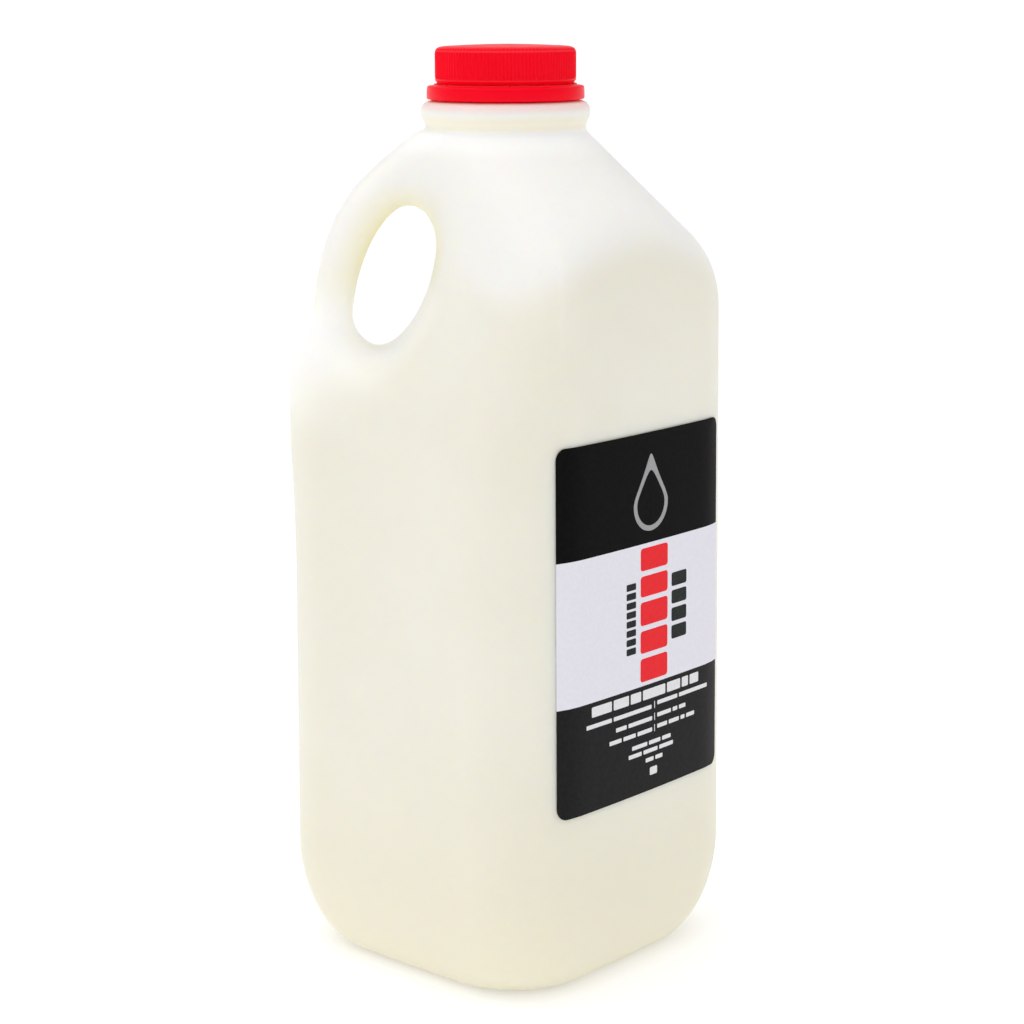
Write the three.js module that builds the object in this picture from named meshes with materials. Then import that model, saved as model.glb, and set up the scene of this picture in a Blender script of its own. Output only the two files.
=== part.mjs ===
// A two-litre milk jug with its screw cap, tamper ring and label.
// Millimetres, +Z up, origin at the centre of the base. The jug is square in plan with a corner
// at -X, and the handle stands in the XZ plane over that corner. The label is on the -Y side of +X.
import * as THREE from 'three';

// Walls of the jug
const SIDE_HALF = 49.1; // axis to a flat side at grip height, without its bulge
const SIDE_BULGE = 1.5; // how far the middle of a side bows out
const DRAFT = 1.2; // extra half width at the base
const DRAFT_HEIGHT = 174; // height at which the extra width has run out
const CORNER_RADIUS = 22;
const HEEL_INSET = 12; // how far the standing edge lies inside the wall
const HEEL_HEIGHT = 30.6;
const HEEL_POWER = 1.85; // 2 is an ellipse
const FOOT_WIDTH = 6; // flat ring that the jug stands on
const BASE_RISE = 2.4; // hollow under the base

// Shoulder and neck
const SHOULDER_SLOPE = THREE.MathUtils.degToRad(45.6);
const SHOULDER_ROUND = 9; // rounding between the walls and the shoulder
const NECK_ROOT_RADIUS = 25;
const NECK_ROOT_HEIGHT = 235;
const COLLAR_RADIUS = 23.6;
const COLLAR_WAIST = 22.8;
const COLLAR_BOTTOM = 238.6;
const COLLAR_TOP = 245.5;
const NECK_RADIUS = 18.2;
const NECK_TOP = 259.3;

// Handle: a flat bar with round edges along a quarter ellipse
const HANDLE_CENTRE = { x: -23.9, z: 179.8 };
const HANDLE_SPAN = { x: 25.8, z: 44.9 };
const HANDLE_HALF_DEPTH = 5.35; // outwards from the jug
const HANDLE_TOP_EXTRA = 0.75;
const HANDLE_HALF_WIDTH = 11.5;
const HANDLE_FILLET = 14.3;
const HANDLE_END_X = -10; // the bar ends inside the jug
const HANDLE_FADE_TOP = 150; // below this height the bar's hold on the corner fades out
const HANDLE_FADE = 0.2; // for each mm down

// Grip space behind the handle: half an ellipse that opens outwards as a wedge
const GRIP_CENTRE = { x: -37.2, z: 205.6 };
const GRIP_TILT = 0.116;
const GRIP_HALF_WIDTH = 17.5;
const GRIP_HALF_HEIGHT = 30.6;
const GRIP_WEDGE = 0.245;
const GRIP_FLARE = { side: 14, sideAt: 50, sidePower: 2.2, ends: 9, endsAt: 40 };
const GRIP_ROUND = 8.5; // rounding of its rim at the handle, and what is added for each mm away
const GRIP_SOFTEN = 0.2;

// Cap, tamper ring and label
const GAP = 0.3;
const CAP_RADIUS = 19.75;
const CAP_TOP = 261.2; // middle of the slightly domed top
const CAP_RIM_TOP = 260.5;
const CAP_DOME_SHARE = 0.5; // of the radius, where a quarter of the dome's fall is reached
const CAP_BOTTOM = 250.4;
const CAP_EDGE = 1.1; // width of its rounded top edge
const RIB_COUNT = 116;
const RIB_DEPTH = 0.35;
const RIB_BOTTOM = 252;
const RIB_TOP = 259.3;
const RING_RADIUS = 22.1;
const RING_BOTTOM = 246.1;
const RING_TOP = 250.05;
const RING_EDGE = 0.5;
const LABEL_MIDDLE = -0.6; // off the middle of its side, away from +X
const LABEL_HALF_WIDTH = 35.6;
const LABEL_BOTTOM = 54.2;
const LABEL_TOP = 157.1;
const LABEL_CORNER = 3.3;
const LABEL_FILM = 0.4;

// Starting outline of the hole through the grip, in the XZ plane
const HOLE_MIDDLE = { x: -32, z: 197, rx: 10, rz: 19, lean: 5 };

// Rows and columns of the net before it is made finer
const COLUMN_OFFSETS = [0, 7.5, 15, 27, 45, 63, 75, 82.5]; // degrees from a corner
const FOOT_SHARES = [0.4, 0.72, 0.85, 0.93, 1]; // of the standing edge's radius
const FLAT_SHARE = 0.8; // inside this share the underside is hollow
const WALL_ROWS = [0.4, 2, 6, 12.5, 21, 34, 62, 96, 128, 154];
const GRIP_ROWS = [172, 185, 198, 211, 222];
const GRIP_COLUMNS = { from: 2, to: 6 }; // counted from the handle on both sides
const NECK_ROWS = [
  [30, 230],
  [NECK_ROOT_RADIUS - 0.6, 235.8],
  [COLLAR_WAIST, COLLAR_BOTTOM - 0.6],
  [COLLAR_WAIST, COLLAR_BOTTOM + 0.4],
  [COLLAR_RADIUS, COLLAR_BOTTOM + 1.8],
  [COLLAR_RADIUS, COLLAR_TOP - 1],
  [COLLAR_RADIUS - 1, COLLAR_TOP],
  [NECK_RADIUS + 0.4, COLLAR_TOP],
  [NECK_RADIUS, COLLAR_TOP + 0.3],
  [NECK_RADIUS, COLLAR_TOP + 1],
  [NECK_RADIUS, NECK_TOP - 1],
  [NECK_RADIUS - 1, NECK_TOP],
];
const TUNNEL_STEPS = [0.3, 0.6, 0.85]; // between the outside of the jug and the middle of the grip
const SCOOP_BOTTOM = 112; // the walls below are plain
const SCOOP_REACH_X = 10; // the walls beyond are plain
const SLACK_BOTTOM = 145; // points below aren't evened out
const SLACK_TOP = NECK_ROOT_HEIGHT - 5; // nor are those from here up
const RELAX_ROUNDS = 10;
const LABEL_COLUMNS = 14;
const LABEL_CORNER_SHARES = [0, 0.13, 0.5, 1];
const LABEL_ROW_SHARES = [0.2, 0.35, 0.5, 0.65, 0.8];

const milkWhite = new THREE.MeshStandardMaterial({ color: 0xf1eee2, roughness: 0.45, metalness: 0 });
const capRed = new THREE.MeshStandardMaterial({ color: 0xe8102a, roughness: 0.35, metalness: 0 });
const labelFilm = new THREE.MeshStandardMaterial({ color: 0xdedce4, roughness: 0.5, metalness: 0 });

const clamp01 = (value) => Math.min(Math.max(value, 0), 1);

// The larger of two distances, rounded over a band of the given width
function smoothMax(a, b, band) {
  const mix = clamp01(0.5 + (0.5 * (a - b)) / band);
  return b * (1 - mix) + a * mix + band * mix * (1 - mix);
}

const smoothMin = (a, b, band) => -smoothMax(-a, -b, band);

// Distance to an ellipse with half axes rx and ry, below zero inside
function ellipseDistance(x, y, rx, ry) {
  const scaled = Math.hypot(x / rx, y / ry) + 1e-6;
  const slope = Math.hypot(x / rx ** 2, y / ry ** 2) + 1e-6;
  return (scaled * (scaled - 1)) / slope;
}

// How far the wall lies inside its full width at a height, over the rounded heel
function heelInset(z) {
  const down = clamp01(1 - z / HEEL_HEIGHT);
  return HEEL_INSET * (1 - (1 - down ** HEEL_POWER) ** (1 / HEEL_POWER));
}

function wallDistance(x, y, z) {
  const u = (x + y) * Math.SQRT1_2;
  const v = (x - y) * Math.SQRT1_2;
  const half = SIDE_HALF + DRAFT * (1 - z / DRAFT_HEIGHT) - heelInset(z);
  const bulge = (across) => Math.max(SIDE_BULGE * (1 - (across / SIDE_HALF) ** 2), 0);
  const du = Math.abs(u) - (half - CORNER_RADIUS) - bulge(v);
  const dv = Math.abs(v) - (half - CORNER_RADIUS) - bulge(u);
  return Math.hypot(Math.max(du, 0), Math.max(dv, 0)) + Math.min(Math.max(du, dv), 0) - CORNER_RADIUS;
}

function bodyDistance(x, y, z) {
  const coneRadius = NECK_ROOT_RADIUS + (NECK_ROOT_HEIGHT - z) * Math.tan(SHOULDER_SLOPE);
  const shoulder = (Math.hypot(x, y) - coneRadius) * Math.cos(SHOULDER_SLOPE);
  return smoothMax(wallDistance(x, y, z), shoulder, SHOULDER_ROUND);
}

function handleDistance(x, y, z) {
  const rise = Math.max(z - HANDLE_CENTRE.z, 0);
  const off = ellipseDistance(x - HANDLE_CENTRE.x, rise, HANDLE_SPAN.x, HANDLE_SPAN.z);
  const depth = HANDLE_HALF_DEPTH + (HANDLE_TOP_EXTRA * rise) / HANDLE_SPAN.z;
  const beyond = Math.max(Math.abs(y) - (HANDLE_HALF_WIDTH - depth), 0);
  const fade = HANDLE_FADE * Math.max(HANDLE_FADE_TOP - z, 0);
  return Math.max(Math.hypot(off, beyond) - depth, x - HANDLE_END_X) + fade;
}

function gripDistance(x, y, z) {
  const dx = x - GRIP_CENTRE.x;
  const dz = z - GRIP_CENTRE.z;
  const across = dx * Math.cos(GRIP_TILT) - dz * Math.sin(GRIP_TILT);
  const along = dx * Math.sin(GRIP_TILT) + dz * Math.cos(GRIP_TILT);
  const depth = Math.abs(y);
  const sideFlare = GRIP_FLARE.side * (depth / GRIP_FLARE.sideAt) ** GRIP_FLARE.sidePower;
  const endFlare = GRIP_FLARE.ends * (depth / GRIP_FLARE.endsAt) ** 2;
  const rx = GRIP_HALF_WIDTH + sideFlare;
  const rz = GRIP_HALF_HEIGHT + endFlare + GRIP_WEDGE * Math.max(-across, 0);
  return ellipseDistance(Math.max(across, 0), along, rx, rz);
}

// The whole jug below its neck, below zero inside
function jugDistance(x, y, z) {
  const rim = GRIP_ROUND + GRIP_SOFTEN * Math.abs(y);
  const scooped = smoothMax(bodyDistance(x, y, z), -gripDistance(x, y, z), rim);
  return smoothMin(scooped, handleDistance(x, y, z), HANDLE_FILLET);
}

// Moves a point straight to where the given distance is zero
function settle(distance, point) {
  const step = 0.02;
  for (let round = 0; round < 8; round += 1) {
    const { x, y, z } = point;
    const here = distance(x, y, z);
    const slope = new THREE.Vector3(
      distance(x + step, y, z) - distance(x - step, y, z),
      distance(x, y + step, z) - distance(x, y - step, z),
      distance(x, y, z + step) - distance(x, y, z - step),
    ).divideScalar(2 * step);
    const pull = here / Math.max(slope.lengthSq(), 0.2);
    point.addScaledVector(slope, -THREE.MathUtils.clamp(pull, -4, 4));
  }
  return point;
}

// Radius of the body at a height, in the direction of an angle
function bodyRadius(angle, z) {
  let inside = 0;
  let outside = 90;
  for (let round = 0; round < 30; round += 1) {
    const radius = (inside + outside) / 2;
    const isInside = bodyDistance(radius * Math.cos(angle), radius * Math.sin(angle), z) < 0;
    if (isInside) inside = radius;
    else outside = radius;
  }
  return inside;
}

// Height of the underside at a place inside the standing edge
function baseHeight(x, y) {
  const inward = -wallDistance(x, y, 0) - FOOT_WIDTH;
  return BASE_RISE * THREE.MathUtils.smoothstep(inward, 0, 2 * FOOT_WIDTH);
}

// Coarse net of the jug: rings of points round the axis, with the two grip patches opened and
// joined by a tunnel, so that the bar between them is the handle
function jugNet() {
  const angles = [0, 1, 2, 3].flatMap((corner) =>
    COLUMN_OFFSETS.map((offset) => THREE.MathUtils.degToRad(180 + 90 * corner + offset)),
  );
  const columns = angles.length;
  const points = [];
  const faces = [];
  const add = (x, y, z) => points.push(new THREE.Vector3(x, y, z)) - 1;
  const addRing = (radiusAt, z) =>
    angles.map((angle) => add(radiusAt(angle) * Math.cos(angle), radiusAt(angle) * Math.sin(angle), z));

  const rings = [];
  const underside = add(0, 0, BASE_RISE);
  FOOT_SHARES.forEach((share) => {
    const height = share < FLAT_SHARE ? BASE_RISE : 0;
    rings.push(addRing((angle) => share * bodyRadius(angle, 0), height));
  });
  WALL_ROWS.forEach((z) => rings.push(addRing((angle) => bodyRadius(angle, z), z)));
  const gripBottom = rings.length;
  GRIP_ROWS.forEach((z) => rings.push(addRing((angle) => bodyRadius(angle, z), z)));
  const gripTop = rings.length - 1;
  NECK_ROWS.forEach(([radius, z]) => rings.push(addRing(() => radius, z)));
  const mouth = add(0, 0, NECK_TOP);

  const lastRing = rings.length - 1;
  const { from: gripLeft, to: gripRight } = GRIP_COLUMNS;
  const inGrip = (row, column) => {
    const side = column < columns / 2 ? column : columns - 1 - column;
    return row >= gripBottom && row < gripTop && side >= gripLeft && side < gripRight;
  };
  for (let column = 0; column < columns; column += 1) {
    const next = (column + 1) % columns;
    faces.push([underside, rings[0][next], rings[0][column]]);
    faces.push([mouth, rings[lastRing][column], rings[lastRing][next]]);
    for (let row = 0; row < lastRing; row += 1) {
      const [low, high] = [rings[row], rings[row + 1]];
      if (!inGrip(row, column)) faces.push([low[column], low[next], high[next], high[column]]);
    }
  }

  // Edge of a grip patch, once round from its lower corner at the handle
  const edgeSteps = [];
  for (let column = gripLeft; column < gripRight; column += 1) edgeSteps.push([gripBottom, column]);
  for (let row = gripBottom; row < gripTop; row += 1) edgeSteps.push([row, gripRight]);
  for (let column = gripRight; column > gripLeft; column -= 1) edgeSteps.push([gripTop, column]);
  for (let row = gripTop; row > gripBottom; row -= 1) edgeSteps.push([row, gripLeft]);
  const middle = edgeSteps.map((step, index) => {
    const turn = (Math.PI * 5) / 4 + (2 * Math.PI * index) / edgeSteps.length;
    const x = HOLE_MIDDLE.x + HOLE_MIDDLE.rx * Math.cos(turn) + HOLE_MIDDLE.lean * Math.sin(turn);
    return add(x, 0, HOLE_MIDDLE.z + HOLE_MIDDLE.rz * Math.sin(turn));
  });
  [false, true].forEach((mirrored) => {
    const columnAt = (column) => (mirrored ? (columns - column) % columns : column);
    const edge = edgeSteps.map(([row, column]) => rings[row][columnAt(column)]);
    const loops = TUNNEL_STEPS.map((share) =>
      edge.map((from, index) => {
        const point = points[from].clone().lerp(points[middle[index]], share);
        return add(point.x, point.y, point.z);
      }),
    );
    const path = [edge, ...loops, middle];
    for (let depth = 0; depth < path.length - 1; depth += 1) {
      edge.forEach((_, index) => {
        const next = (index + 1) % edge.length;
        const [outer, inner] = [path[depth], path[depth + 1]];
        const face = [outer[index], outer[next], inner[next], inner[index]];
        faces.push(mirrored ? face.reverse() : face);
      });
    }
  });
  return withoutSpares(points, faces);
}

// Drops the points that no face uses, such as those of the opened patches
function withoutSpares(points, faces) {
  const used = [...new Set(faces.flat())];
  const places = new Map(used.map((index, place) => [index, place]));
  return {
    points: used.map((index) => points[index]),
    faces: faces.map((face) => face.map((index) => places.get(index))),
  };
}

// One round of Catmull-Clark subdivision
function subdivide({ points, faces }) {
  const edges = new Map();
  const zero = () => new THREE.Vector3();
  const facesAt = points.map(() => []);
  const edgesAt = points.map(() => []);
  const facePoints = faces.map((face) =>
    face.reduce((sum, index) => sum.add(points[index]), zero()).divideScalar(face.length),
  );
  const keyOf = (a, b) => `${Math.min(a, b)},${Math.max(a, b)}`;
  faces.forEach((face, faceIndex) => {
    face.forEach((from, corner) => {
      const to = face[(corner + 1) % face.length];
      const key = keyOf(from, to);
      if (!edges.has(key)) {
        edges.set(key, { ends: [from, to], sides: [] });
        edgesAt[from].push(key);
        edgesAt[to].push(key);
      }
      edges.get(key).sides.push(faceIndex);
      facesAt[from].push(faceIndex);
    });
  });
  const middleOf = ({ ends }) => points[ends[0]].clone().add(points[ends[1]]).divideScalar(2);
  const moved = points.map((point, index) => {
    const count = facesAt[index].length;
    const faceSum = facesAt[index].reduce((sum, face) => sum.add(facePoints[face]), zero());
    const edgeSum = edgesAt[index].reduce((sum, key) => sum.add(middleOf(edges.get(key))), zero());
    const around = faceSum.addScaledVector(edgeSum, 2).divideScalar(count);
    return around.addScaledVector(point, count - 3).divideScalar(count);
  });
  const finer = [...moved, ...facePoints];
  edges.forEach((edge) => {
    const [left, right] = edge.sides.map((face) => facePoints[face]);
    const [start, end] = edge.ends.map((index) => points[index]);
    edge.point = finer.push(start.clone().add(end).add(left).add(right).divideScalar(4)) - 1;
  });
  const finerFaces = faces.flatMap((face, faceIndex) =>
    face.map((from, corner) => {
      const to = face[(corner + 1) % face.length];
      const before = face[(corner + face.length - 1) % face.length];
      const [ahead, behind] = [edges.get(keyOf(from, to)), edges.get(keyOf(before, from))];
      return [from, ahead.point, points.length + faceIndex, behind.point];
    }),
  );
  return { points: finer, faces: finerFaces };
}

// Puts a point of the net on the surface of the jug
function placeOnJug(point) {
  const underJug = point.z < BASE_RISE + 0.5 && wallDistance(point.x, point.y, 0) <= 0;
  const onNeck = point.z > COLLAR_BOTTOM - 1;
  const nearHandle = point.z > SCOOP_BOTTOM && point.x < SCOOP_REACH_X;
  if (underJug) point.z = baseHeight(point.x, point.y);
  else if (nearHandle && !onNeck) settle(jugDistance, point);
  else if (!onNeck) {
    const angle = Math.atan2(point.y, point.x);
    const radius = bodyRadius(angle, point.z);
    point.set(radius * Math.cos(angle), radius * Math.sin(angle), point.z);
  }
}

// Evens out the free points of the net, which are those round the handle and the shoulder
function relax({ points, faces }, isFree) {
  const sums = points.map(() => ({ total: new THREE.Vector3(), count: 0 }));
  faces.forEach((face) => {
    face.forEach((index, corner) => {
      const ahead = face[(corner + 1) % face.length];
      sums[index].total.add(points[ahead]);
      sums[index].count += 1;
    });
  });
  points.forEach((point, index) => {
    if (isFree[index]) point.lerp(sums[index].total.divideScalar(sums[index].count), 0.5);
  });
}

// Splits each face along its shorter diagonal
function meshFromNet({ points, faces }) {
  const indices = [];
  faces.forEach(([a, b, c, d]) => {
    const shortFirst = points[a].distanceTo(points[c]) <= points[b].distanceTo(points[d]);
    if (shortFirst) indices.push(a, b, c, a, c, d);
    else indices.push(a, b, d, b, c, d);
  });
  const geometry = new THREE.BufferGeometry();
  geometry.setAttribute('position', new THREE.Float32BufferAttribute(points.flatMap((p) => p.toArray()), 3));
  geometry.setIndex(indices);
  geometry.computeVertexNormals();
  return geometry;
}

function jugGeometry() {
  const net = subdivide(jugNet());
  net.points.forEach(placeOnJug);
  const isFree = net.points.map((point) => point.z > SLACK_BOTTOM && point.z < SLACK_TOP);
  for (let round = 0; round < RELAX_ROUNDS; round += 1) {
    relax(net, isFree);
    net.points.forEach(placeOnJug);
  }
  return meshFromNet(net);
}

// Screw cap: a cup over the neck, with ribs round its side
function capGeometry() {
  const inner = NECK_RADIUS + GAP;
  const profile = [
    [0, CAP_TOP],
    [CAP_DOME_SHARE * CAP_RADIUS, CAP_TOP - (CAP_TOP - CAP_RIM_TOP) / 4],
    [CAP_RADIUS - CAP_EDGE, CAP_RIM_TOP],
    [CAP_RADIUS, RIB_TOP],
    [CAP_RADIUS, RIB_BOTTOM],
    [CAP_RADIUS, CAP_BOTTOM],
    [inner, CAP_BOTTOM],
    [inner, NECK_TOP + GAP],
    [0, NECK_TOP + GAP],
  ].reverse();
  const shape = profile.map(([radius, z]) => new THREE.Vector2(radius, z));
  const geometry = new THREE.LatheGeometry(shape, 2 * RIB_COUNT).rotateX(Math.PI / 2);
  const position = geometry.attributes.position;
  const ribAngle = (2 * Math.PI) / RIB_COUNT;
  for (let index = 0; index < position.count; index += 1) {
    const [x, y, z] = [position.getX(index), position.getY(index), position.getZ(index)];
    const turns = Math.atan2(y, x) / ribAngle;
    const inGroove = Math.abs(turns - Math.round(turns)) > 0.25;
    const onRibs = Math.hypot(x, y) > CAP_RADIUS - 0.1 && z > CAP_BOTTOM + 0.1;
    const scale = onRibs && inGroove ? 1 - RIB_DEPTH / CAP_RADIUS : 1;
    position.setXY(index, x * scale, y * scale);
  }
  return geometry;
}

function ringGeometry() {
  const inner = NECK_RADIUS + GAP;
  const profile = [
    [inner, RING_BOTTOM],
    [RING_RADIUS - RING_EDGE, RING_BOTTOM],
    [RING_RADIUS, RING_BOTTOM + RING_EDGE],
    [RING_RADIUS, RING_TOP - RING_EDGE],
    [RING_RADIUS - RING_EDGE, RING_TOP],
    [inner, RING_TOP],
    [inner, RING_BOTTOM],
  ];
  const shape = profile.map(([radius, z]) => new THREE.Vector2(radius, z));
  return new THREE.LatheGeometry(shape, 64).rotateX(Math.PI / 2);
}

// Label: a thin film with round corners that follows one side of the jug
function labelGeometry() {
  const height = LABEL_TOP - LABEL_BOTTOM;
  const cornerRows = LABEL_CORNER_SHARES.map((share) => share * LABEL_CORNER);
  const middleRows = LABEL_ROW_SHARES.map((share) => share * height);
  const topRows = [...cornerRows].reverse().map((row) => height - row);
  const rows = [...cornerRows, ...middleRows, ...topRows];
  const columns = LABEL_COLUMNS;
  const points = [];
  const faces = [];
  const stride = columns + 1;
  const layer = rows.length * stride;
  [GAP, GAP + LABEL_FILM].forEach((offset) => {
    rows.forEach((row) => {
      const toEnd = Math.min(row, height - row, LABEL_CORNER);
      const cut = LABEL_CORNER - Math.sqrt(LABEL_CORNER ** 2 - (LABEL_CORNER - toEnd) ** 2);
      for (let column = 0; column <= columns; column += 1) {
        const u = LABEL_MIDDLE + (LABEL_HALF_WIDTH - cut) * ((2 * column) / columns - 1);
        const v = SIDE_HALF + 1;
        const point = new THREE.Vector3((u + v) * Math.SQRT1_2, (u - v) * Math.SQRT1_2, LABEL_BOTTOM + row);
        points.push(settle((x, y, z) => wallDistance(x, y, z) - offset, point));
      }
    });
  });
  const at = (side, row, column) => side * layer + row * stride + column;
  const lastRow = rows.length - 1;
  for (let row = 0; row < lastRow; row += 1) {
    for (let column = 0; column < columns; column += 1) {
      const cell = (side) => [
        at(side, row, column),
        at(side, row, column + 1),
        at(side, row + 1, column + 1),
        at(side, row + 1, column),
      ];
      faces.push(cell(1), cell(0).reverse());
    }
    const sideEdge = (column) => [
      at(0, row, column),
      at(1, row, column),
      at(1, row + 1, column),
      at(0, row + 1, column),
    ];
    faces.push(sideEdge(0), sideEdge(columns).reverse());
  }
  for (let column = 0; column < columns; column += 1) {
    const endEdge = (row) => [
      at(0, row, column),
      at(0, row, column + 1),
      at(1, row, column + 1),
      at(1, row, column),
    ];
    faces.push(endEdge(0), endEdge(lastRow).reverse());
  }
  return meshFromNet({ points, faces });
}

function namedMesh(name, geometry, material) {
  const mesh = new THREE.Mesh(geometry, material);
  mesh.name = name;
  return mesh;
}

const group = new THREE.Group();
group.add(namedMesh('jug_body', jugGeometry(), milkWhite));
group.add(namedMesh('screw_cap', capGeometry(), capRed));
group.add(namedMesh('tamper_ring', ringGeometry(), capRed));
group.add(namedMesh('label', labelGeometry(), labelFilm));

export default group;
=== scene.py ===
# %% [markdown]
# # A two-litre milk jug
# A blow-moulded jug of milky polyethylene, square in plan, with its handle over one corner,
# a red screw cap on a tamper ring, and a printed film label on one side.
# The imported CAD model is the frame, and it gives every place and size. Each CAD solid is
# replaced here by a finer piece in the same place. The pieces could be sculpted freely, but then
# they would drift from the solids, so they are settled on the same shape formulas as the CAD.

# %% Load the frame
from math import cos, pi, radians, sin, sqrt, tan

import bmesh
import bpy
import numpy as np
from mathutils import Matrix, Vector


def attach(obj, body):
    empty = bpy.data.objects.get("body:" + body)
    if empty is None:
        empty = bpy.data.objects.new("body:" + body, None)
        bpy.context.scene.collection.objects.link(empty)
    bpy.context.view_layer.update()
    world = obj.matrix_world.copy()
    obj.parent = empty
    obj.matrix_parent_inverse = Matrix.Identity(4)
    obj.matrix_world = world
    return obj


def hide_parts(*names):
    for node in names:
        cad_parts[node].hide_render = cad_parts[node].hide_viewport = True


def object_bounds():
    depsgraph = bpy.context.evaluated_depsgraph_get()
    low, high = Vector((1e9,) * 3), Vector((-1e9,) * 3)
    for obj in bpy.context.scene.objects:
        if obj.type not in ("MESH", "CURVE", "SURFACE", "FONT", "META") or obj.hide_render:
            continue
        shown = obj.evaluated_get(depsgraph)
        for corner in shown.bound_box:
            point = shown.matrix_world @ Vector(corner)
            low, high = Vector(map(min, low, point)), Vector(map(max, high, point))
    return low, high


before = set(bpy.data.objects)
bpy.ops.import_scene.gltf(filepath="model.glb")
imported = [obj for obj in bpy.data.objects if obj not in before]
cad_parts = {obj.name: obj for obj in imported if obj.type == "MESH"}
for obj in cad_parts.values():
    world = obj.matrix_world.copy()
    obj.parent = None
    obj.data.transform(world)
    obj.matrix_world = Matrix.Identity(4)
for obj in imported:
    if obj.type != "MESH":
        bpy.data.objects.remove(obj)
cad_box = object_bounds()
print("solids in the frame:", sorted(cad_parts))

# %% [markdown]
# ## Camera and studio
# The jug was photographed from a little above its middle with a long lens, in an even white
# light. The camera's place was worked out from the edges of the jug. The light could come from
# a dozen lamps, but a bright sky with a soft falloff and two wide panels gives the same calm
# shading from every side, which suits a pale, see-through plastic. Where the sky itself is in
# the picture it is plain white.

# %% Camera
camera_data = bpy.data.cameras.new("camera")
camera_data.sensor_width = 36
camera_data.lens = 84.63
camera_data.clip_start = 0.01
camera = bpy.data.objects.new("camera", camera_data)
camera.location = (-0.04109, -0.68192, 0.27383)
camera_heading = Matrix.Rotation(radians(-3.561), 3, "Z")
camera_pitch = Matrix.Rotation(radians(77.936), 3, "X")
camera_roll = Matrix.Rotation(radians(-0.22), 3, "Z")
camera.rotation_euler = (camera_heading @ camera_pitch @ camera_roll).to_euler()
bpy.context.scene.collection.objects.link(camera)
bpy.context.scene.camera = camera
print("camera at", tuple(round(value, 3) for value in camera.location))


# %% Node helpers
def add_node(tree, kind, **settings):
    node = tree.nodes.new(kind)
    for name, value in settings.items():
        setattr(node, name, value)
    return node


def set_inputs(node, **values):
    for name, value in values.items():
        node.inputs[name.replace("_", " ")].default_value = value
    return node


def maths(tree, operation, first, second=None):
    node = add_node(tree, "ShaderNodeMath", operation=operation)
    for socket, value in zip(node.inputs, (first, second)):
        if isinstance(value, bpy.types.NodeSocket):
            tree.links.new(value, socket)
        elif value is not None:
            socket.default_value = value
    return node.outputs[0]


# %% Sky
world = bpy.data.worlds.new("studio_sky")
world.use_nodes = True
bpy.context.scene.world = world
sky = world.node_tree
sky_light = sky.nodes["Background"]
sky_light.inputs["Color"].default_value = (1, 1, 1, 1)
sky_place = add_node(sky, "ShaderNodeTexCoord")
sky_split = add_node(sky, "ShaderNodeSeparateXYZ")
sky.links.new(sky_place.outputs["Generated"], sky_split.inputs[0])
side_share = maths(sky, "MULTIPLY", sky_split.outputs["X"], -0.05)
front_share = maths(sky, "MULTIPLY", sky_split.outputs["Y"], 0.05)
horizon = add_node(sky, "ShaderNodeMapRange", interpolation_type="SMOOTHSTEP")
sky.links.new(maths(sky, "ABSOLUTE", sky_split.outputs["Z"]), horizon.inputs["Value"])
set_inputs(horizon, From_Min=0.02, From_Max=0.25, To_Min=1.06, To_Max=0.36)
overhead = add_node(sky, "ShaderNodeMapRange", interpolation_type="SMOOTHSTEP")
sky.links.new(sky_split.outputs["Z"], overhead.inputs["Value"])
set_inputs(overhead, From_Min=0.25, From_Max=0.9, To_Min=0.0, To_Max=0.75)
sky_tilt = maths(sky, "ADD", side_share, front_share)
sky_base = maths(sky, "ADD", horizon.outputs["Result"], overhead.outputs["Result"])
sky_light_level = maths(sky, "ADD", sky_tilt, sky_base)
seen_directly = add_node(sky, "ShaderNodeLightPath").outputs["Is Camera Ray"]
backdrop_level = maths(sky, "MULTIPLY", seen_directly, 1.06)
sky_level = maths(sky, "MAXIMUM", sky_light_level, backdrop_level)
sky.links.new(sky_level, sky_light.inputs["Strength"])
bpy.context.scene.view_settings.view_transform = "Standard"
print("sky made of", len(sky.nodes), "nodes")


# %% Panels
def add_panel(name, place, target, size, power):
    light = bpy.data.lights.new(name, "AREA")
    light.shape = "RECTANGLE"
    light.size = size[0]
    light.size_y = size[1]
    light.energy = power
    panel = bpy.data.objects.new(name, light)
    panel.location = place
    aim = Vector(target) - Vector(place)
    panel.rotation_euler = aim.to_track_quat("-Z", "Y").to_euler()
    bpy.context.scene.collection.objects.link(panel)
    return panel


top_panel = add_panel("top_panel", (-0.2, -0.1, 1.3), (0, 0, 0.15), (1.2, 1.2), 3.2)
left_panel = add_panel("left_panel", (-1.1, -0.9, 0.7), (0, 0, 0.14), (0.7, 1.0), 0.6)
print("panels:", top_panel.name, left_panel.name)


# %% Floor
def floor_finish():
    material = bpy.data.materials.new("white_table")
    material.use_nodes = True
    tree = material.node_tree
    surface = tree.nodes["Principled BSDF"]
    set_inputs(surface, Base_Color=(0.9, 0.9, 0.9, 1), Roughness=0.7, Emission_Strength=0.26)
    surface.inputs["Emission Color"].default_value = (1, 1, 1, 1)
    return material


bpy.ops.object.select_all(action="DESELECT")
bpy.ops.mesh.primitive_plane_add(size=60, location=(0, 0, -0.0002))
floor = bpy.context.object
floor.name = "floor"
floor.data.materials.append(floor_finish())

# %% [markdown]
# ## The shape of the jug
# The walls of a blow-moulded jug bow out a little, its corners and heel are generous curves and
# its shoulder is a cone that runs into the neck. The handle is a bar between two scoops. Such a
# shape can be pushed and pulled by eye. Here it is a formula instead: a function that is below
# zero inside the jug, with soft joins, in the millimetres of the CAD. Every net of points can be
# settled on it, so the jug, its label and the printing all fit each other exactly.

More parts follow.
